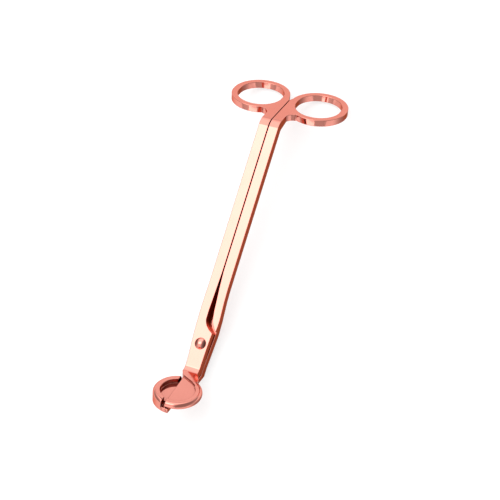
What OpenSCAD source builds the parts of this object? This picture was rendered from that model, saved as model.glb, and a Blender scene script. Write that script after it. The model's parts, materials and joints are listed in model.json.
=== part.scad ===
// Wick trimmer: two Z-bent arms crossed on one rivet, finger loops at one end, a two-part catching dish at the other.
// Units are millimetres. The trimmer lies on the heel of its lower arm and on the far ends of both loops, closed.

/* [Arms] */
// Width of one arm, from the middle line to its outer edge
arm_w = 5.1; // [4:0.1:7]
// Thickness of the arms and of each lap at the pivot
arm_t = 4.7; // [3:0.1:6]
// Space left between the two closed arms
arm_gap = 0.4; // [0.1:0.05:1]
// Running space between the two laps
lap_gap = 0.06; // [0.03:0.01:0.2]
// Distance from the pivot to the bend at the loops
loop_fold = 113.5; // [90:0.5:140]
// Angle the loops are bent down from the arms
loop_bend = 49; // [30:1:60]
// Radius of that bend on the top face
loop_bend_r = 7.3; // [5.5:0.1:10]

// Slope of the lower arm's underside, from the lap up to the shank
ramp = 14; // [12:1:30]
// Thickness of the ledge below the space between the shanks
ledge_t = 0.8; // [0.6:0.1:1.5]

/* [Finger loops] */
// Half the distance between the two loop centres
loop_x = 15.6; // [14:0.1:20]
// Distance from the bend to the loop centres
loop_s = 25.5; // [22:0.1:32]
// Radius of the finger hole
hole_r = 11.45; // [9:0.05:13]
// Length added to the finger hole along the arm, each way
hole_more = 0.85; // [0:0.05:3]
// Width of the ring around the finger hole
ring_w = 3.2; // [2:0.1:5]
// Thickness of the ring
ring_t = 3.4; // [2:0.1:5]
// Radius of the hollow corner between arm and ring
ring_fillet = 4.5; // [2:0.1:7]

/* [Dish] */
// Distance from the pivot to the bend at the dish
dish_fold = 13.3; // [11:0.1:20]
// Angle the dish is bent up from the arms
dish_bend = 50.7; // [35:0.1:60]
// Distance from the bend to the middle of the dish
dish_s = 16.9; // [15:0.1:22]
// Radius of the hollow corner at that bend, on the top face
dish_bend_r = 4; // [1:0.5:5]
// Offset of the dish from the middle line of the arms
dish_x = 0.5; // [-1:0.1:1]
// Outer radius of the dish
dish_r = 11.7; // [9:0.1:15]
// Inner radius of the dish
dish_ri = 8.3; // [6:0.1:11]
// Thickness of the upper half of the dish
plate_t = 3.4; // [2:0.1:5]
// Depth of the shallow recess in the upper half
recess = 0.95; // [0.4:0.05:2]
// Depth of the dish's floor below the rim
floor_z = 2.4; // [2:0.1:3.4]
// Space between the upper half and what lies below it
blade_gap = 0.2; // [0.1:0.05:0.4]
// Depth of the lower half, rim to underside
cup_t = 6.0; // [5:0.1:8]

/* [Pivot] */
// Radius of the rivet shank
rivet_r = 1.75; // [1.2:0.05:2.5]
// Running clearance of the shank in the lower arm
rivet_run = 0.05; // [0.02:0.01:0.1]
// Radius of the domed head
head_r = 2.85; // [2.2:0.05:4]
// Height of the domed head
head_h = 1.4; // [0.8:0.1:2]
// Radius of the burr ring at the back
burr_r = 3.2; // [2.5:0.1:4]
// Thickness of the burr ring
burr_t = 0.8; // [0.5:0.1:1.2]

/* [Rest] */
// Depth of the small flats worn on the heel and on the loop ends, where the trimmer lies on a table
rest_flat = 0.1; // [0.02:0.02:0.3]

/* [Hidden] */
$fn = 96;
e = 0.01;
far = 60;
low_top = -arm_t - lap_gap;               // top face of the lower lap
low_bot = low_top - arm_t + 0.1;          // underside of the lower lap
neck_low = plate_t + 0.55;                // top of the lower neck below the dish's rim plane
neck_bot = neck_low + 2.9;                // underside of the lower neck
edge_up = -2.3;                           // upper half's cutting edge at the bend, left of the middle
edge_lean = 0.05;                         // how far that edge leans to the right per millimetre
rim_left = -2.7;                          // where the lower half's high rim stops
edge_low = 1.0;                           // lower half's cutting edge, right of the middle
side_r = 1.6;                             // rounding of the dish's outer wall
bend_tan = loop_bend_r * tan(loop_bend / 2);
fillet_tan = dish_bend_r * tan(dish_bend / 2);
// resting on the heel and the loop ends: the line through the two lowest corners becomes the table
heel_y = -dish_fold - (neck_bot + low_bot * cos(dish_bend)) / sin(dish_bend);
loop_end = loop_s + hole_r + hole_more / 1.6 + ring_w;
toe_y = loop_fold + loop_end * cos(loop_bend) - ring_t * sin(loop_bend);
toe_z = -loop_end * sin(loop_bend) - ring_t * cos(loop_bend);
tilt = atan2(low_bot - toe_z, toe_y - heel_y);
lift = -(heel_y * sin(tilt) + low_bot * cos(tilt)) - rest_flat;
back = 52.48;                             // brings the middle of the length to zero

module lay() difference() {
  translate([0, -back, lift]) rotate([tilt, 0, 0]) children();
  translate([-far, -2 * far, -far]) cube([2 * far, 4 * far, far]);
}

// local frames of the two bent ends: x across, y away from the pivot along the bent part, z out of its top face
module at_loops() translate([0, loop_fold, 0]) rotate([-loop_bend, 0, 0]) children();
module at_dish() translate([0, -dish_fold, 0]) rotate([-dish_bend, 0, 0]) mirror([0, 1, 0]) children();

// a prism of an outline, between two heights
module slab(z0, z1) translate([0, 0, z0]) linear_extrude(height = z1 - z0) children();

// one finger loop to the right of the middle line, in the loops' frame
module ring_outline() {
  difference() {
    union() {
      for (s = [-1, 1]) translate([loop_x, loop_s + s * hole_more / 1.6]) circle(r = hole_r + ring_w);
      translate([loop_x - hole_r - ring_w, loop_s - hole_more / 1.6])
        square([2 * (hole_r + ring_w), 2 * hole_more / 1.6]);
      difference() {
        polygon([[1, 6], [arm_w - 0.6, 6], [arm_w + 4.2, 12], [arm_w + 7, 14], [4, 26], [1.4, 28.2],
                 [0.55, 26.6], [arm_gap / 2, 25.6], [arm_gap / 2, 9]]);
        translate([arm_w + ring_fillet - 0.02, 6.8]) circle(r = ring_fillet);
      }
    }
    finger_hole();
  }
}
module finger_hole() {
  for (s = [-1, 1]) translate([loop_x, loop_s + s * hole_more]) circle(r = hole_r);
  translate([loop_x - hole_r, loop_s - hole_more]) square([2 * hole_r, 2 * hole_more]);
}

// the bent strip that both arms are cut from: the straight plate, and the bar that runs out under the loop
module bent_strip() difference() {
  union() {
    intersection() {
      translate([-far, -far, -arm_t]) cube([2 * far, far + loop_fold + 10, arm_t]);
      at_loops() translate([-far, -200, -2 * far]) cube([2 * far, 400, 2 * far]);
    }
    intersection() {
      at_loops() translate([-far, 0, 0]) rotate([90, 0, 90]) linear_extrude(height = 2 * far)
        polygon([[-1, 0], [-1, -arm_t], [2.5, -arm_t], [12, 0.4 - ring_t], [12, 0]]);
      translate([-far, 0, -far]) cube([2 * far, 200, far]);
    }
  }
  // the outside of the bend, rounded about a line across the arm
  translate([-far, loop_fold - bend_tan, -loop_bend_r]) rotate([90, 0, 90])
    linear_extrude(height = 2 * far) difference() {
      polygon([[0, 0], [0, 15], [15 * sin(loop_bend / 2), 15 * cos(loop_bend / 2)],
               [15 * sin(loop_bend), 15 * cos(loop_bend)]]);
      circle(r = loop_bend_r + 0.03);
    }
}

// outlines in the arms' plane, seen from above, y towards the loops
module upper_outline() polygon([
  [-arm_gap / 2, loop_fold + 20], [-arm_w, loop_fold + 20], [-arm_w, 28], [-arm_w - 0.15, 22],
  [-arm_w - 0.15, 14], [-arm_w, 8.5], [-4.85, 3.5], [-4.55, -1], [-4.2, -6], [-4.05, -11], [-4.05, -22], [3.6, -22],
  [3.6, -10], [3.75, -3], [3.95, 2.8], [4.15, 5.9], [3.85, 6.35], [2.1, 7.4], [0.3, 9.2], [-0.5, 10.8],
  [-0.85, 12], [-0.9, 16.5], [-0.65, 23], [-arm_gap / 2 - 0.05, 35], [-arm_gap / 2, 40]]);
module lower_shank_outline() polygon([
  [arm_gap / 2, loop_fold + 20], [arm_w, loop_fold + 20], [arm_w, 28.5], [arm_w + 0.15, 23],
  [arm_w + 0.45, 18], [arm_w + 0.75, 13], [arm_w + 0.7, 10], [arm_w + 0.5, 7.1], [4.5, 8.3], [2.75, 11.2], [2.3, 12.6],
  [1.65, 17.2], [1.25, 22.2], [0.75, 28], [arm_gap / 2 + 0.05, 36], [arm_gap / 2, 41]]);
module lower_lap_outline() polygon([
  [5.0, 27], [5.0, 18], [4.95, 13], [4.75, 9.5], [4.6, 5], [4.3, 0], [4.0, -6], [3.75, -11], [3.75, -24],
  [-3.9, -24], [-3.9, -9], [-4.1, -2], [-4.2, 5.6], [-2.4, 7.6], [-1.6, 10.5], [-1.4, 16], [1.6, 19], [1.0, 27]]);
// the thin ledge that closes the space between the shanks from below
module ledge_outline() polygon([[-1.3, 14], [-1.1, 24], [-0.75, 33], [2.5, 33], [3.4, 14]]);
// where lap and ledge are one with the shank above them
module weld_outline() polygon([
  [2.75, 12.2], [1.85, 17.6], [1.45, 22.4], [0.95, 28], [0.6, 32.5], [2.2, 32.5], [4.85, 26.5], [4.85, 13],
  [4.65, 9.5], [4.3, 9.8]]);

// a half space, as a long box: above or below the plane through a bent part's local height z
module dish_side(z, up) at_dish() translate([-far, -far, up ? z : z - far]) cube([2 * far, 2 * far, far]);

// outer form of the dish about its own middle: a disc with a rounded wall
module disc(t, r_top, r_bot) {
  rotate_extrude() {
    translate([0, -t]) square([dish_r - max(r_top, r_bot), t]);
    translate([0, -t + r_bot]) square([dish_r, t - r_top - r_bot]);
    translate([dish_r - r_top, -r_top]) intersection() { circle(r = r_top); square(r_top); }
    translate([0, -r_top]) square([dish_r - r_top, r_top]);
    translate([dish_r - r_bot, -t + r_bot]) intersection() { circle(r = r_bot); translate([0, -r_bot]) square(r_bot); }
    translate([0, -t]) square([dish_r - r_bot, r_bot]);
  }
}
// everything to the right of the upper half's cutting edge
module right_of_edge() polygon([[edge_up - 3 * edge_lean, -3], [edge_up + 40 * edge_lean, 40], [far, 40], [far, -3]]);

module upper_head() {
  at_dish() difference() {
    union() {
      intersection() {
        translate([dish_x, dish_s, 0]) disc(plate_t, side_r, side_r);
        slab(-plate_t - 1, 1) right_of_edge();
      }
      slab(-plate_t, 0) polygon([[-4.05, -5], [-4.05, 0.8], [-3.5, 2.9], [-2.15, 5.6], [-2.0, 8], [6.5, 8], [6.0, 5.6],
                                 [4.9, 3.4], [4.1, 2.0], [3.6, 0.6], [3.6, -5]]);
    }
    translate([dish_x, dish_s, -recess]) cylinder(r = dish_ri, h = 5);
    slab(-recess, 2) polygon([[-5, 3.7], [-0.75, 5.75], [3.5, 7.9], [6.4, 10.2], [7.9, 13.2], [2, 17], [-5, 17]]);
    slab(-recess, 2) polygon([[-3, 8], [-3, 25.1], [-0.5, 25.1], [-0.5, 8]]);
    // the thin blade, cut back from below where it slides over the lower half's floor
    intersection() {
      translate([dish_x, dish_s, -20]) cylinder(r = dish_ri + 1.1, h = 20 - floor_z + blade_gap);
      translate([-far, -5, -20]) cube([far + 1.7, far, 20]);
    }
  }
}

module lower_head() {
  at_dish() {
    difference() {
      translate([dish_x, dish_s, 0]) disc(cup_t, side_r, 0.4);
      // the hollow, down to the floor
      translate([dish_x, dish_s, -floor_z]) rotate_extrude() {
        square([dish_ri - 0.8, 9]);
        translate([0, 0.8]) square([dish_ri, 9]);
        translate([dish_ri - 0.8, 0.8]) circle(r = 0.8);
      }
      // room for the upper half, and the cutting edge
      difference() {
        translate([rim_left, -5, -plate_t - blade_gap]) cube([far, far, 20]);
        translate([dish_x, dish_s, -20]) cylinder(r = dish_ri, h = 20 - floor_z);
      }
      translate([edge_low, -5, -20]) cube([far, far, 40]);
    }
    // lower neck, under the upper one
    slab(-neck_bot, -neck_low) polygon([[-3.9, -7], [-3.9, 3], [-5.2, 7.4], [-3, 10], [0.9, 9], [1.6, 5], [3.75, 2.2],
                                        [3.75, -7]]);
  }
}

module rivet_bore(r) translate([0, 0, -30]) cylinder(r = r, h = 60);

module upper_arm() color([0.93, 0.69, 0.60]) lay() {
  difference() {
    union() {
      intersection() {
        bent_strip();
        slab(-far, 1) upper_outline();
        union() {
          dish_side(-plate_t, true);
          translate([-far, -dish_fold + 5, -far]) cube([2 * far, 200, 2 * far]);
        }
        union() {
          dish_side(0, false);
          translate([-far, -dish_fold, -far]) cube([2 * far, 200, 2 * far]);
        }
      }
      mirror([1, 0, 0]) at_loops() slab(-ring_t, 0) ring_outline();
    }
    rivet_bore(rivet_r);
  }
  intersection() {
    upper_head();
    translate([-far, -far, -arm_t]) cube([2 * far, 2 * far, far]);
  }
  // hollow corner on top of the bend
  translate([-3.7, -dish_fold + fillet_tan, dish_bend_r]) rotate([90, 0, 90]) linear_extrude(height = 7.25)
    difference() {
      polygon([[0, 0], [0, -dish_bend_r - 0.6], [-fillet_tan - 0.3, -dish_bend_r - 0.6],
               [-(dish_bend_r + 0.6) * sin(dish_bend), -(dish_bend_r + 0.6) * cos(dish_bend)]]);
      circle(r = dish_bend_r + 0.03);
    }
}

module lower_arm() color([0.90, 0.64, 0.55]) lay() {
  difference() {
    union() {
      at_loops() slab(-ring_t, 0) ring_outline();
      intersection() {
        bent_strip();
        slab(-far, 1) lower_shank_outline();
      }
      // lap below the upper one, with a ramp up to the shank
      difference() {
        union() {
          intersection() {
            slab(low_bot, low_top) lower_lap_outline();
            union() {
              dish_side(-neck_bot, true);
              translate([-far, -dish_fold, -far]) cube([2 * far, 200, 2 * far]);
            }
            union() {
              dish_side(-neck_low, false);
              translate([-far, -dish_fold, -far]) cube([2 * far, 200, 2 * far]);
            }
          }
          slab(low_top - 0.3, -arm_t + 0.3) weld_outline();
        }
        translate([-far, 7, low_bot]) rotate([ramp, 0, 0]) translate([0, 0, -far]) cube([2 * far, far, far]);
      }
      slab(low_top - ledge_t, low_top) ledge_outline();
    }
    rivet_bore(rivet_r + rivet_run);
  }
  intersection() {
    lower_head();
    translate([-far, -far, low_bot]) cube([2 * far, 2 * far, far]);
  }
}

module pivot_rivet() color([0.95, 0.74, 0.66]) lay() {
  // domed head: a cap of a large ball
  cap_r = (head_r * head_r + head_h * head_h) / (2 * head_h);
  intersection() {
    translate([0, 0, head_h - cap_r]) sphere(r = cap_r);
    cylinder(r = head_r + 1, h = head_h + 1);
  }
  translate([0, 0, low_bot - burr_t - 0.5]) cylinder(r = rivet_r, h = -low_bot + burr_t + 0.5 + e);
  translate([0, 0, low_bot - burr_t - lap_gap - 0.5]) cylinder(r = rivet_r + 0.5, h = 0.5);
}

module rivet_burr() color([0.88, 0.62, 0.53]) lay()
  translate([0, 0, low_bot - lap_gap - burr_t]) difference() {
    cylinder(r = burr_r, h = burr_t);
    translate([0, 0, -1]) cylinder(r = rivet_r, h = burr_t + 2);
  }

upper_arm();
lower_arm();
pivot_rivet();
rivet_burr();
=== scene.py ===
import json
import math

import bmesh
import bpy
from mathutils import Matrix, Vector
from mathutils.bvhtree import BVHTree


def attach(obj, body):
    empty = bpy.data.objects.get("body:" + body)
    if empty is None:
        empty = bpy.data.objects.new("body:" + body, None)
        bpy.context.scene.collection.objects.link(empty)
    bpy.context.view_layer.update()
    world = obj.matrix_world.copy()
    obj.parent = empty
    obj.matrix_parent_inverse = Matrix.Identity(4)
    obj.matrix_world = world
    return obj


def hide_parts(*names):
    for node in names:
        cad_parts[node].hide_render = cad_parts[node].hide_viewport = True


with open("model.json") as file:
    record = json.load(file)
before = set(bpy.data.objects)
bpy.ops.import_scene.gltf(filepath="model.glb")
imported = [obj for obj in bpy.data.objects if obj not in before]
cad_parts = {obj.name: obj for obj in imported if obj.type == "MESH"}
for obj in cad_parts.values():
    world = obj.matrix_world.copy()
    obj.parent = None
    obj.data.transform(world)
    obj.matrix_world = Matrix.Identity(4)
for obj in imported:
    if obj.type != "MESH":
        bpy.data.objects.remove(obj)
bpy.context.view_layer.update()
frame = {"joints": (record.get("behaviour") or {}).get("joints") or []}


# ---- Upper arm: the blank ------------------------------------------------------------------------
# The left-hand loop, the long shank and the lap over the pivot are cut from one flat steel bar.
# The bar is then bent down at the loop. Sizes are millimetres in the arm's own frame: pivot at the
# origin, y to the loops, z out of the top.

ARM_HALF_GAP, ARM_WIDTH, ARM_THICK, LAP_GAP = 0.2, 5.1, 4.7, 0.06
UNDER, OVER, BESIDE = -9, 2, 9              # clear of the bar, for cuts that go right through it
BEND_RADIUS, BEND_ANGLE, BEND_CORNER = 7.3, math.radians(49), 113.5
BEND_START = BEND_CORNER - BEND_RADIUS * math.tan(BEND_ANGLE / 2)
LOOP_FOLD = BEND_START + BEND_RADIUS * (BEND_ANGLE - math.tan(BEND_ANGLE / 2))
SHANK_END, LAP_END = LOOP_FOLD + 12, -11
RING_THICK, RING_OUTER, RING_LONGER = 3.4, 14.65, 0.53
HOLE_RADIUS, HOLE_LONGER, WEB_FILLET = 11.45, 0.85, 4.5
LOOP_CENTRE = Vector((15.6, LOOP_FOLD + 25.5, 0))
RIVET_RADIUS = 1.75
FLAT = math.radians(0.1)                   # two faces that differ by less than this are made one


def vertices_in(geometry):
    return [part for part in geometry if isinstance(part, bmesh.types.BMVert)]


def prism(outline, low, high):
    """A solid of that outline between two heights."""
    solid = bmesh.new()
    face = solid.faces.new([solid.verts.new((x, y, low)) for x, y in outline])
    raised = bmesh.ops.extrude_face_region(solid, geom=[face])["geom"]
    bmesh.ops.translate(solid, vec=(0, 0, high - low), verts=vertices_in(raised))
    bmesh.ops.recalc_face_normals(solid, faces=solid.faces)
    return solid


def across(profile, left, right):
    """A solid of a side profile, drawn as y and z, that runs across the arm from left to right."""
    solid = prism(profile, left, right)
    sideways = Matrix(((0, 0, 1, 0), (1, 0, 0, 0), (0, 1, 0, 0), (0, 0, 0, 1)))
    bmesh.ops.transform(solid, matrix=sideways, verts=solid.verts)
    return solid


def plug(radius, centre, low, high, longer=0.0, segments=96):
    """A round solid on an upright axis, drawn out along y by longer each way."""
    solid = bmesh.new()
    bmesh.ops.create_circle(solid, cap_ends=True, segments=segments, radius=radius)
    raised = bmesh.ops.extrude_face_region(solid, geom=solid.faces[:])["geom"]
    bmesh.ops.translate(solid, vec=(0, 0, high - low), verts=vertices_in(raised))
    for v in solid.verts:
        if abs(v.co.y) > 0.01:
            v.co.y += math.copysign(longer, v.co.y)
    bmesh.ops.translate(solid, vec=(centre[0], centre[1], low), verts=solid.verts)
    bmesh.ops.recalc_face_normals(solid, faces=solid.faces)
    return solid


def shop_object(solid, name="blank"):
    """The solid as an object in the scene."""
    mesh = bpy.data.meshes.new(name)
    solid.to_mesh(mesh)
    solid.free()
    made = bpy.data.objects.new(name, mesh)
    bpy.context.scene.collection.objects.link(made)
    return made


def machined(work, tool, how):
    """The work with the tool welded on (UNION) or cut out (DIFFERENCE), or what they share (INTERSECT)."""
    work, tool = shop_object(work), shop_object(tool)
    step = work.modifiers.new(how, "BOOLEAN")
    step.operation, step.solver, step.object = how, "EXACT", tool
    bpy.context.view_layer.update()
    mesh = bpy.data.meshes.new_from_object(work.evaluated_get(bpy.context.evaluated_depsgraph_get()))
    result = bmesh.new()
    result.from_mesh(mesh)
    for shop in (work, tool):
        stock = shop.data
        bpy.data.objects.remove(shop)
        bpy.data.meshes.remove(stock)
    bpy.data.meshes.remove(mesh)
    bmesh.ops.remove_doubles(result, verts=result.verts, dist=0.002)
    bmesh.ops.dissolve_limit(result, angle_limit=FLAT, verts=result.verts, edges=result.edges)
    return result


def with_loop(shank):
    """The right-hand shank with its ring and the web between them."""
    side, fold = ARM_WIDTH, LOOP_FOLD
    web = prism([(1, fold + 6), (side - 0.6, fold + 6), (side + 4.2, fold + 12), (side + 7, fold + 14),
                 (4, fold + 26), (1.4, fold + 28.2), (0.55, fold + 26.6), (ARM_HALF_GAP, fold + 25.6),
                 (ARM_HALF_GAP, fold + 9)], -RING_THICK, 0)
    fillet = plug(WEB_FILLET, (side + 4.45, fold + 6.94), UNDER, OVER, segments=64)
    web = machined(web, fillet, "DIFFERENCE")
    loop = machined(plug(RING_OUTER, LOOP_CENTRE, -RING_THICK, 0, RING_LONGER), web, "UNION")
    loop = machined(shank, loop, "UNION")
    return machined(loop, plug(HOLE_RADIUS, LOOP_CENTRE, UNDER, OVER, HOLE_LONGER), "DIFFERENCE")


def bent(blank, steps=12):
    """The blank after the press: past the bend line it follows an arc, then runs on straight."""
    arc = BEND_RADIUS * BEND_ANGLE
    for n in range(steps + 1):
        bmesh.ops.bisect_plane(blank, geom=blank.verts[:] + blank.edges[:] + blank.faces[:], dist=0.001,
                               plane_co=(0, BEND_START + arc * n / steps, 0), plane_no=(0, 1, 0))
    for v in blank.verts:
        past = v.co.y - BEND_START
        if past > 0:
            turn = min(past / BEND_RADIUS, BEND_ANGLE)
            rest = max(past - arc, 0)
            out = BEND_RADIUS + v.co.z
            v.co.y = BEND_START + out * math.sin(turn) + rest * math.cos(turn)
            v.co.z = -BEND_RADIUS + out * math.cos(turn) - rest * math.sin(turn)
    return blank


def other_hand(solid):
    """The solid mirrored from the right-hand side of the tool to the left, or back."""
    bmesh.ops.scale(solid, vec=(-1, 1, 1), verts=solid.verts)
    bmesh.ops.recalc_face_normals(solid, faces=solid.faces)
    return solid


def thinned(shank):
    """The shank cut away from below, from the bend on, down to the thickness of the loop."""
    fold = LOOP_FOLD
    wedge = across([(fold + 3.4, -ARM_THICK - LAP_GAP), (fold + 3.4, UNDER), (fold + 13, UNDER),
                    (fold + 13, -2.8), (fold + 12, -2.9)], -BESIDE, BESIDE)
    return machined(shank, wedge, "DIFFERENCE")


shank = prism([(-ARM_HALF_GAP, SHANK_END), (-5.1, SHANK_END), (-5.1, 28), (-5.25, 22), (-5.25, 14),
               (-5.1, 8.5), (-4.85, 3.5), (-4.55, -1), (-4.2, -6), (-4.05, -9.8), (-4.05, LAP_END),
               (3.6, LAP_END), (3.6, -9.8), (3.75, -3), (3.95, 2.8), (4.15, 5.9), (3.85, 6.35), (2.1, 7.4),
               (0.3, 9.2), (-0.5, 10.8), (-0.85, 12), (-0.9, 16.5), (-0.65, 23), (-0.25, 35),
               (-ARM_HALF_GAP, 40)], -ARM_THICK, 0)
shank = thinned(other_hand(shank))
shank = machined(shank, plug(RIVET_RADIUS, (0, 0), UNDER, OVER, segments=48), "DIFFERENCE")
upper = other_hand(bent(with_loop(shank)))


# ---- Upper arm: the cutting half of the dish -----------------------------------------------------
# The end beyond the pivot is cranked up and spread into half a shallow dish with a rounded rim,
# ground thin to a blade on its left edge. The arm is tumbled smooth and plated rose gold all over.

DISH_FOLD, DISH_ANGLE, FOLD_RADIUS = 13.3, math.radians(50.7), 4.0
DISH = Matrix(((1, 0, 0, 0), (0, -math.cos(DISH_ANGLE), math.sin(DISH_ANGLE), -DISH_FOLD),
               (0, math.sin(DISH_ANGLE), math.cos(DISH_ANGLE), 0), (0, 0, 0, 1)))
DISH_MIDDLE, DISH_RADIUS, HOLLOW_RADIUS, RIM_ROUND = (0.5, 16.9), 11.7, 8.3, 1.6
NECK_REACH, HALF_THICK, RECESS, BLADE_THICK = 1.7, 3.4, 0.95, 2.2


def crease(height, depth):
    """Where a flat of the arm at that height meets the dish's underside at that depth, as y and z."""
    return (-DISH_FOLD - (depth + height * math.cos(DISH_ANGLE)) / math.sin(DISH_ANGLE), height)


def cranked(arm, top, foot, low, high):
    """The arm in the dish's frame, its end run on to the fold, then up along the dish's plane."""
    ends = [f for f in arm.faces if all(abs(v.co.y - LAP_END) < 0.01 for v in f.verts)]
    for at_fold in (True, False):
        raised = bmesh.ops.extrude_face_region(arm, geom=ends)["geom"]
        bmesh.ops.delete(arm, geom=ends, context="FACES_ONLY")
        ends = [f for f in raised if isinstance(f, bmesh.types.BMFace)]
        corners = sorted({v for f in ends for v in f.verts}, key=lambda v: v.co.z)
        middle = (corners[0].co.z + corners[-1].co.z) / 2
        for v in corners:
            upper_side = v.co.z > middle
            if at_fold:
                v.co.y, v.co.z = top if upper_side else foot
            else:
                v.co = DISH @ Vector((v.co.x, NECK_REACH, high if upper_side else low))
    bmesh.ops.transform(arm, matrix=DISH.inverted(), verts=arm.verts)
    for v in arm.verts:                    # put the end exactly on the dish's planes, for a clean weld
        for height in (low, high):
            if abs(v.co.z - height) < 0.002 and -0.9 * NECK_REACH < v.co.y < NECK_REACH + 0.01:
                v.co.z = height
        if abs(v.co.y - NECK_REACH) < 0.002:
            v.co.y = NECK_REACH
    bmesh.ops.recalc_face_normals(arm, faces=arm.faces)
    return arm


def turned_disc(thick, foot_round):
    """A disc turned on a lathe, with both corners of its wall rounded."""
    foot, rim = DISH_RADIUS - foot_round, DISH_RADIUS - RIM_ROUND
    disc = bmesh.new()
    tip = disc.verts.new((0, 0, -thick))
    for start, centre in (((foot, 0, -thick), (foot, 0, foot_round - thick)),
                          ((DISH_RADIUS, 0, -RIM_ROUND), (rim, 0, -RIM_ROUND))):
        corner = disc.verts.new(start)
        disc.edges.new((tip, corner))
        swung = bmesh.ops.spin(disc, geom=[corner], cent=centre, axis=(0, -1, 0), dvec=(0, 0, 0),
                               angle=math.pi / 2, steps=7, use_merge=False)["geom_last"]
        tip = vertices_in(swung)[0]
    disc.edges.new((tip, disc.verts.new((0, 0, 0))))
    bmesh.ops.spin(disc, geom=disc.verts[:] + disc.edges[:], cent=(0, 0, 0), axis=(0, 0, 1), dvec=(0, 0, 0),
                   angle=2 * math.pi, steps=112, use_merge=True)
    bmesh.ops.remove_doubles(disc, verts=disc.verts, dist=0.001)
    bmesh.ops.dissolve_limit(disc, angle_limit=FLAT, verts=disc.verts, edges=disc.edges)
    bmesh.ops.translate(disc, vec=(*DISH_MIDDLE, 0), verts=disc.verts)
    bmesh.ops.recalc_face_normals(disc, faces=disc.faces)
    return disc


def split_round_the_dish(arm, cuts=12, first=4):
    """The wide faces of the dish cut into narrow sectors, so that none folds over when it is rounded."""
    for n in range(cuts):
        half = [f for f in arm.faces if all(v.co.y > -0.3 and v.co.z > -8 for v in f.verts)]
        parts = dict.fromkeys(part for f in half for part in (f, *f.edges, *f.verts))
        turn = math.radians(180 / cuts * n + first)
        bmesh.ops.bisect_plane(arm, geom=list(parts), dist=0.04, plane_co=(*DISH_MIDDLE, 0),
                               plane_no=(math.cos(turn), math.sin(turn), 0))


def tumbled(arm, fold_radius=0.0, edge_round=0.25, sharp=math.radians(30), stray=0.35):
    """The arm with its fold drawn to a soft hollow and all sharp edges rounded in the tumbling barrel."""
    bmesh.ops.remove_doubles(arm, verts=arm.verts, dist=0.03)
    bmesh.ops.dissolve_limit(arm, angle_limit=FLAT, verts=arm.verts, edges=arm.edges)
    if fold_radius:
        fold = [e for e in arm.edges if all(abs(v.co.y) < 0.05 and abs(v.co.z) < 0.05 for v in e.verts)]
        bmesh.ops.bevel(arm, geom=fold, offset=fold_radius * math.tan(DISH_ANGLE / 2), offset_type="OFFSET",
                        segments=9, profile=0.5, affect="EDGES", clamp_overlap=False, material=-1)
    split_round_the_dish(arm)
    corners = [e for e in arm.edges if len(e.link_faces) == 2 and e.calc_face_angle(0) > sharp]
    skin = BVHTree.FromBMesh(arm)
    bmesh.ops.bevel(arm, geom=corners, offset=edge_round, offset_type="OFFSET", segments=3, profile=0.5,
                    affect="EDGES", clamp_overlap=False, material=-1, loop_slide=True)
    for v in arm.verts:                    # the rounding may throw a point off a thin corner: bring it back
        nearest, _, _, away = skin.find_nearest(v.co)
        if away > stray:
            v.co = nearest
    bmesh.ops.remove_doubles(arm, verts=arm.verts, dist=0.004)
    return arm


# From the arm's frame to the room: up and back to the pivot, leaned with its axis, millimetres to metres.
pivot = frame["joints"][0]
lean_back = Matrix.Rotation(math.asin(pivot["axis"][1]), 4, "X")
LAY = Matrix.Translation(pivot["pos_m"]) @ lean_back @ Matrix.Scale(0.001, 4)


def finished(solid, name, node, body, matrix, material):
    """The solid as the piece that stands for a node, laid in its place, flat where it rests on the table."""
    bmesh.ops.transform(solid, matrix=matrix, verts=solid.verts)
    for v in solid.verts:
        v.co.z = max(v.co.z, 0.0)
    bmesh.ops.recalc_face_normals(solid, faces=solid.faces)
    for face in solid.faces:
        face.smooth = True
    piece = shop_object(solid, name)
    normals = piece.modifiers.new("flat faces stay flat", "WEIGHTED_NORMAL")
    normals.weight = 50
    normals.keep_sharp = False
    piece.data.materials.append(material)
    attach(piece, body)
    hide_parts(node)


def add(tree, kind, **settings):
    """A node with its plain properties, and its inputs by socket name."""
    node = tree.nodes.new(kind)
    for key, value in settings.items():
        if key in node.bl_rna.properties:
            setattr(node, key, value)
        else:
            node.inputs[key.replace("_", " ")].default_value = value
    return node


def worked_out(tree, operation, *values):
    """The result of one sum, whose values are numbers or the outputs of other nodes."""
    node = add(tree, "ShaderNodeMath", operation=operation)
    for place, value in zip(node.inputs, values):
        if isinstance(value, float):
            place.default_value = value
        else:
            tree.links.new(value, place)
    return node.outputs[0]


def stepped(tree, value, start, end, low=0.0, high=1.0):
    """A value turned into a soft step: low before the start, high after the end."""
    step = add(tree, "ShaderNodeMapRange", interpolation_type="SMOOTHSTEP",
               From_Min=start, From_Max=end, To_Min=low, To_Max=high)
    tree.links.new(value, step.inputs["Value"])
    return step.outputs["Result"]


def shader_group(name, outputs):
    """An empty group of shader nodes on a position and a pattern size, with its way in and way out."""
    group = bpy.data.node_groups.new(name, "ShaderNodeTree")
    group.interface.new_socket("Vector", in_out="INPUT", socket_type="NodeSocketVector")
    group.interface.new_socket("Size", in_out="INPUT", socket_type="NodeSocketFloat")
    for socket in outputs:
        group.interface.new_socket(socket, in_out="OUTPUT", socket_type="NodeSocketFloat")
    return group, group.nodes.new("NodeGroupInput").outputs, group.nodes.new("NodeGroupOutput").inputs


def noise(tree, position, size, **settings):
    """A noise pattern at a position, of that size."""
    pattern = add(tree, "ShaderNodeTexNoise", **settings)
    tree.links.new(position, pattern.inputs["Vector"])
    tree.links.new(size, pattern.inputs["Scale"])
    return pattern.outputs[0]


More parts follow.
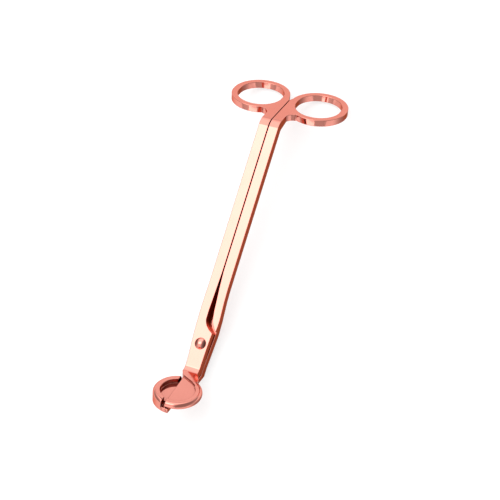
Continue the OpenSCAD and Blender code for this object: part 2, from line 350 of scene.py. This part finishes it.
# Very slight unevenness left by the polishing wheel: slow clouds and a finer ripple.
polish_waves, given, result = shader_group("polish waves", ("Height", "Clouds"))
clouds = noise(polish_waves, given["Vector"], given["Size"], Detail=2.0, Roughness=0.5)
fine_size = worked_out(polish_waves, "MULTIPLY", given["Size"], 7.0)
ripple = noise(polish_waves, given["Vector"], fine_size, Detail=3.0, Roughness=0.6)
polish_waves.links.new(worked_out(polish_waves, "MULTIPLY_ADD", ripple, 0.12, clouds), result["Height"])
polish_waves.links.new(clouds, result["Clouds"])

# Hairline scratches from handling: thin broken lines that run two ways.
hairlines, given, result = shader_group("hairlines", ("Lines",))
lines = []
for angle in (0.35, 1.9):
    drawn_out = add(hairlines, "ShaderNodeMapping", Rotation=(0.2, 0.1, angle), Scale=(1.0, 0.03, 0.2))
    hairlines.links.new(given["Vector"], drawn_out.inputs["Vector"])
    streaks = noise(hairlines, drawn_out.outputs["Vector"], given["Size"], Detail=1.0, Distortion=0.1)
    lines.append(stepped(hairlines, streaks, 0.70, 0.76))
hairlines.links.new(worked_out(hairlines, "MAXIMUM", *lines), result["Lines"])

# Dull patches where fingers have been.
smudges, given, result = shader_group("smudges", ("Mask",))
patches = noise(smudges, given["Vector"], given["Size"], Detail=4.0, Roughness=0.65, Distortion=0.6)
smudges.links.new(stepped(smudges, patches, 0.50, 0.72), result["Mask"])


def plating(name, light, dark, gloss, dull, wave_size, line_size, smudge_size, depth, side):
    """Polished rose-gold plating. Its hue drifts between two tones, and painted shade darkens it in hollows
    and on steep sides, standing in for the dark surroundings those faces reflect. Scratches and smudges are
    duller, between gloss and dull."""
    mat = bpy.data.materials.new(name)
    mat.use_nodes = True
    tree = mat.node_tree
    join = tree.links.new
    metal = tree.nodes["Principled BSDF"].inputs
    metal["Metallic"].default_value = 1.0
    metal["Specular Tint"].default_value = (0.72, 0.36, 0.30, 1)
    place = add(tree, "ShaderNodeTexCoord").outputs

    def effect(group, size):
        node = add(tree, "ShaderNodeGroup", node_tree=group)
        node.inputs["Size"].default_value = size
        join(place["Object"], node.inputs["Vector"])
        return node.outputs

    waves = effect(polish_waves, wave_size)
    scratches = effect(hairlines, line_size)["Lines"]
    marks = effect(smudges, smudge_size)["Mask"]

    tone = add(tree, "ShaderNodeMix", data_type="RGBA", A=(*light, 1), B=(*dark, 1))
    join(waves["Clouds"], tone.inputs["Factor"])
    # Painted shade: the colour is darkened where ambient occlusion finds a hollow or crevice, and on faces
    # turned sideways, so that they read as if reflecting dark surroundings. The side numbers set where that
    # painted side shade begins and ends, and how dark it gets.
    open_sky = add(tree, "ShaderNodeAmbientOcclusion", samples=6, Distance=0.004).outputs["AO"]
    facing = add(tree, "ShaderNodeSeparateXYZ")
    join(place["Normal"], facing.inputs[0])
    painted_steep_shade = stepped(tree, worked_out(tree, "ABSOLUTE", facing.outputs["X"]), *side)
    painted_shade = worked_out(tree, "MULTIPLY", painted_steep_shade, stepped(tree, open_sky, 0.1, 0.9, 0.42, 1.0))
    shaded = add(tree, "ShaderNodeVectorMath", operation="SCALE")
    join(tone.outputs[2], shaded.inputs[0])
    join(painted_shade, shaded.inputs["Scale"])
    join(shaded.outputs[0], metal["Base Color"])

    rough = add(tree, "ShaderNodeMapRange", To_Min=gloss, To_Max=dull)
    join(worked_out(tree, "MULTIPLY_ADD", scratches, 0.5, marks), rough.inputs["Value"])
    join(rough.outputs["Result"], metal["Roughness"])

    bump = add(tree, "ShaderNodeBump", Strength=0.5, Distance=depth)
    join(worked_out(tree, "MULTIPLY_ADD", scratches, -0.15, waves["Height"]), bump.inputs["Height"])
    join(bump.outputs["Normal"], metal["Normal"])
    return mat


cutting_half = turned_disc(HALF_THICK, RIM_ROUND)
left_of_edge = prism([(-2.45, -3), (-0.3, 40), (-30, 40), (-30, -3)], -20, 5)
cutting_half = machined(cutting_half, left_of_edge, "DIFFERENCE")
neck = prism([(-4.05, 1.5), (-4.05, 2.0), (-3.5, 3.1), (-2.15, 5.6), (-2.0, 8), (6.5, 8), (6.0, 5.6),
              (4.9, 3.4), (4.1, 2.4), (3.6, 1.9), (3.6, 1.5)], -HALF_THICK, 0)
cutting_half = machined(cutting_half, neck, "UNION")
round_floor = plug(HOLLOW_RADIUS, DISH_MIDDLE, -RECESS, 5)
faceted_step = prism([(-5, 3.7), (-0.75, 5.75), (3.5, 7.9), (6.4, 10.2), (7.2, 14.3), (2, 17), (-5, 17)],
                     -RECESS, 3)
along_the_edge = prism([(-3, 8), (-3, 22), (-0.5, 22), (-0.5, 8)], -RECESS, 4)
for hollow in (round_floor, faceted_step, along_the_edge):
    cutting_half = machined(cutting_half, hollow, "DIFFERENCE")
under_the_blade = machined(plug(HOLLOW_RADIUS + 1.1, DISH_MIDDLE, -20, -BLADE_THICK),
                           prism([(-30, -5), (1.7, -5), (1.7, 40), (-30, 40)], -25, 5), "INTERSECT")
cutting_half = machined(cutting_half, under_the_blade, "DIFFERENCE")

upper = cranked(upper, (-DISH_FOLD, 0.0), crease(-ARM_THICK, HALF_THICK), -HALF_THICK, 0.0)
upper = machined(upper, cutting_half, "UNION")
rose_gold = plating("rose gold plating", light=(0.76, 0.297, 0.240), dark=(0.74, 0.276, 0.222),
                    gloss=0.09, dull=0.16, wave_size=110.0, line_size=900.0, smudge_size=160.0,
                    depth=0.00003, side=(0.75, 0.98, 1.0, 0.40))
finished(tumbled(upper, FOLD_RADIUS), "upper_arm_plated", "upper_arm", "upper",
         LAY @ DISH, rose_gold)


# ---- Lower arm -----------------------------------------------------------------------------------
# The right-hand loop and shank, joggled down under the upper arm at the pivot, then cranked up
# into the half of the dish that catches the wick. Steel, tumbled and plated like the upper arm.

LAP_TOP, LAP_FOOT = -ARM_THICK - LAP_GAP, -9.36
RAMP_START, RAMP_END, RAMP_ANGLE, LEDGE_THICK = 7, 30, math.radians(14), 0.8
NECK_TOP, NECK_FOOT = 3.95, 6.85
CUP_THICK, CUP_FOOT_ROUND, CUP_DEPTH, BLADE_ROOM = 6.0, 0.4, 2.4, 3.6

shank = prism([(ARM_HALF_GAP, SHANK_END), (5.1, SHANK_END), (5.1, 28.5), (5.25, 23), (5.55, 18), (5.85, 13),
               (5.8, 10), (5.6, 7.1), (4.5, 8.3), (2.75, 11.2), (2.3, 12.6), (1.65, 17.2), (1.25, 22.2),
               (0.75, 28), (0.25, 36), (ARM_HALF_GAP, 41)], LAP_TOP, 0)
lower = bent(with_loop(thinned(shank)))
lap = prism([(5.0, 27), (5.0, 18), (4.95, 13), (4.75, 9.5), (4.6, 5), (4.3, 0), (4.0, -6), (3.75, -9.8),
             (3.75, LAP_END), (-3.9, LAP_END), (-3.9, -9), (-4.1, -2), (-4.2, 5.6), (-2.4, 7.6),
             (-1.6, 10.5), (-1.4, 16), (1.6, 19), (1.0, 27)], LAP_FOOT, LAP_TOP)
ramp_rise = (RAMP_END - RAMP_START) * math.tan(RAMP_ANGLE)
under_the_ramp = across([(RAMP_START, LAP_FOOT), (RAMP_START, -14), (RAMP_END, -14),
                         (RAMP_END, LAP_FOOT + ramp_rise)], -BESIDE, BESIDE)
lap = machined(lap, under_the_ramp, "DIFFERENCE")
bore = plug(RIVET_RADIUS + 0.05, (0, 0), -15, 2, segments=48)
lap = machined(lap, bore, "DIFFERENCE")
lower = machined(lower, lap, "UNION")
ledge = prism([(-1.3, 14), (-1.1, 24), (-0.75, 33), (2.5, 33), (3.4, 14)], LAP_TOP - LEDGE_THICK, LAP_TOP)
lower = machined(lower, ledge, "UNION")

catching_half = turned_disc(CUP_THICK, CUP_FOOT_ROUND)
catching_half = machined(catching_half, plug(HOLLOW_RADIUS, DISH_MIDDLE, -CUP_DEPTH, 5), "DIFFERENCE")
room_for_blade = machined(prism([(-2.7, -5), (30, -5), (30, 40), (-2.7, 40)], -BLADE_ROOM, 15),
                          plug(HOLLOW_RADIUS, DISH_MIDDLE, -20, -CUP_DEPTH), "DIFFERENCE")
catching_half = machined(catching_half, room_for_blade, "DIFFERENCE")
right_of_floor = prism([(1.0, -5), (30, -5), (30, 40), (1.0, 40)], -20, 20)
catching_half = machined(catching_half, right_of_floor, "DIFFERENCE")
lower_neck = prism([(-3.9, 1.5), (-3.9, 3), (-5.2, 7.4), (-3, 10), (0.9, 9), (1.6, 5), (3.75, 2.2),
                    (3.75, 1.5)], -NECK_FOOT, -NECK_TOP)
catching_half = machined(catching_half, lower_neck, "UNION")

lower = cranked(lower, crease(LAP_TOP, NECK_TOP), crease(LAP_FOOT, NECK_FOOT), -NECK_FOOT, -NECK_TOP)
lower = machined(lower, catching_half, "UNION")
finished(tumbled(lower), "lower_arm_plated", "lower_arm", "lower", LAY @ DISH, rose_gold)


# ---- Rivet ---------------------------------------------------------------------------------------
# One turned steel pin, plated like the arms: a low domed head on the upper lap, a straight shank
# through both laps and a tail spread by the riveting press.

HEAD_RADIUS, HEAD_HEIGHT, HEAD_STEPS = 2.85, 1.4, 14
TAIL_RADIUS, TAIL_HEIGHT, BURR_THICK = RIVET_RADIUS + 0.5, 0.5, 0.8


def turned(profile, name, node, material):
    """A piece turned on the pivot's axis from a profile of radius and height; a closed one makes a ring."""
    solid = bmesh.new()
    line = [solid.verts.new((r, 0, z)) for r, z in profile]
    for one, two in zip(line, line[1:]):
        solid.edges.new((one, two))
    bmesh.ops.spin(solid, geom=solid.verts[:] + solid.edges[:], cent=(0, 0, 0), axis=(0, 0, 1),
                   dvec=(0, 0, 0), angle=2 * math.pi, steps=64, use_merge=True)
    bmesh.ops.remove_doubles(solid, verts=solid.verts, dist=0.0005)
    finished(solid, name, node, "upper", LAY, material)


dome_radius = (HEAD_RADIUS ** 2 + HEAD_HEIGHT ** 2) / (2 * HEAD_HEIGHT)
dome_turn = math.asin((HEAD_RADIUS - 0.12) / dome_radius) / HEAD_STEPS
dome_centre = HEAD_HEIGHT - dome_radius
dome = [(dome_radius * math.sin(dome_turn * n), dome_centre + dome_radius * math.cos(dome_turn * n))
        for n in range(HEAD_STEPS + 1)]
head_edge = [(HEAD_RADIUS - 0.02, 0.07), (HEAD_RADIUS, 0.0), (RIVET_RADIUS + 0.1, 0.0), (RIVET_RADIUS, -0.1)]
burr_foot = LAP_FOOT - LAP_GAP - BURR_THICK
tail_foot = burr_foot - TAIL_HEIGHT
tail = [(RIVET_RADIUS, burr_foot + 0.1), (RIVET_RADIUS + 0.1, burr_foot), (TAIL_RADIUS - 0.08, burr_foot),
        (TAIL_RADIUS, burr_foot - 0.1), (TAIL_RADIUS, tail_foot + 0.15), (TAIL_RADIUS - 0.15, tail_foot),
        (0, tail_foot)]
rivet_metal = plating("rose gold rivet", light=(0.81, 0.33, 0.27), dark=(0.78, 0.29, 0.23),
                      gloss=0.13, dull=0.20, wave_size=420.0, line_size=2200.0, smudge_size=700.0,
                      depth=0.00002, side=(0.30, 0.62, 1.0, 0.30))
turned(dome + head_edge + tail, "rivet_turned", "pivot_rivet", rivet_metal)


# ---- Burr ring -----------------------------------------------------------------------------------
# A small plated washer between the lower lap and the rivet's spread tail, punched from strip with
# its corners broken.

BURR_RADIUS, BURR_BORE = 3.2, RIVET_RADIUS + 0.01

burr_top = LAP_FOOT - LAP_GAP
burr = [(BURR_BORE, burr_foot + 0.1), (BURR_BORE + 0.09, burr_foot), (BURR_RADIUS - 0.2, burr_foot),
        (BURR_RADIUS - 0.06, burr_foot + 0.06), (BURR_RADIUS, burr_foot + 0.2),
        (BURR_RADIUS, burr_top - 0.12), (BURR_RADIUS - 0.1, burr_top), (BURR_BORE + 0.09, burr_top),
        (BURR_BORE, burr_top - 0.1), (BURR_BORE, burr_foot + 0.1)]
burr_metal = plating("rose gold washer", light=(0.79, 0.31, 0.25), dark=(0.75, 0.27, 0.21),
                     gloss=0.16, dull=0.26, wave_size=500.0, line_size=2600.0, smudge_size=800.0,
                     depth=0.00002, side=(0.75, 0.98, 1.0, 0.6))
turned(burr, "burr_punched", "rivet_burr", burr_metal)


# ---- Studio: table -------------------------------------------------------------------------------
# A flat sheet of matt white card, much wider than what the camera sees. It gives off a little
# light of its own, so that the tool's shadow on it stays faint.

floor_sheet = bmesh.new()
bmesh.ops.create_grid(floor_sheet, x_segments=1, y_segments=1, size=3.0)
floor = shop_object(floor_sheet, "floor")
table = bpy.data.materials.new("white table")
table.use_nodes = True
surface = table.node_tree.nodes["Principled BSDF"].inputs
surface["Base Color"].default_value = (0.35, 0.35, 0.35, 1)
surface["Emission Color"].default_value = (1, 1, 1, 1)
surface["Emission Strength"].default_value = 0.66
surface["Roughness"].default_value = 0.9
floor.data.materials.append(table)


# ---- Studio: tent and lights ---------------------------------------------------------------------
# A white tent round the table: a bright band from behind the tool up overhead, dimmer in front and
# at both sides. A softbox whitens the tops of the arms, and a wide fill lights the table only.

world = bpy.data.worlds.new("studio")
world.use_nodes = True
sky = world.node_tree
toward = add(sky, "ShaderNodeTexCoord")
axes = add(sky, "ShaderNodeSeparateXYZ")
sky.links.new(toward.outputs["Generated"], axes.inputs[0])
x, y, z = (axes.outputs[name] for name in "XYZ")

off_band = worked_out(sky, "ABSOLUTE", worked_out(sky, "ADD", x, 0.28))
band = worked_out(sky, "MULTIPLY", stepped(sky, off_band, 0.25, 0.62, 1.0, 0.0),
                  stepped(sky, z, 0.0, 0.6, 0.45, 1.3))
band = worked_out(sky, "MULTIPLY", band, stepped(sky, y, -0.35, 0.15, 0.55, 1.0))
low_front = worked_out(sky, "MULTIPLY", stepped(sky, y, -0.9, -0.5, 0.15, 0.0),
                       stepped(sky, z, 0.15, 0.5, 1.0, 0.0))
dim_sides = worked_out(sky, "MULTIPLY", stepped(sky, off_band, 0.45, 0.7),
                       stepped(sky, z, 0.2, 0.4, 0.0, 0.12))
all_round = worked_out(sky, "ADD", worked_out(sky, "MAXIMUM", band, low_front), 0.5)
glow = worked_out(sky, "SUBTRACT", all_round, dim_sides)
cloth = sky.nodes["Background"].inputs
cloth["Color"].default_value = (1, 0.995, 0.985, 1)
sky.links.new(glow, cloth["Strength"])
bpy.context.scene.world = world


def panel(name, place, aim, width, height, power, mirrored=True):
    """A flat studio light; one that isn't mirrored lights things without showing in the metal."""
    lamp = bpy.data.lights.new(name, "AREA")
    lamp.shape = "RECTANGLE"
    lamp.size, lamp.size_y, lamp.energy = width, height, power
    lit = bpy.data.objects.new(name, lamp)
    lit.location = place
    lit.rotation_mode = "QUATERNION"
    lit.rotation_quaternion = (Vector(aim) - Vector(place)).to_track_quat("-Z", "Y")
    lit.visible_glossy = mirrored
    bpy.context.scene.collection.objects.link(lit)


panel("top softbox", (-0.30, -0.08, 0.95), (0, 0, 0.02), 0.62, 0.80, 2.35)
panel("low card", (-0.08, -0.68, 0.14), (0.0, 0.05, 0.02), 0.40, 0.12, 0.22)
panel("fill", (0, 0, 2.0), (0, 0, 0), 5.0, 5.0, 38, mirrored=False)


# ---- Studio: camera ------------------------------------------------------------------------------
# A long lens above the right-hand side of the dish, looking down at the tool and rolled a little,
# so that the arms run up the frame.

lens = bpy.data.cameras.new("camera")
lens.lens, lens.sensor_width = 100.8, 36
lens.clip_start, lens.clip_end = 0.05, 10
right, up = Vector((0.91759, 0.33294, -0.21721)), Vector((-0.25251, 0.91016, 0.32841))
turn = Matrix((right, up, right.cross(up))).transposed().to_4x4()
camera = bpy.data.objects.new("camera", lens)
camera.matrix_world = Matrix.Translation((0.21621, -0.16902, 0.63683)) @ turn
bpy.context.scene.collection.objects.link(camera)
bpy.context.scene.camera = camera
bpy.context.scene.view_settings.view_transform = "Standard"

bpy.context.view_layer.update()
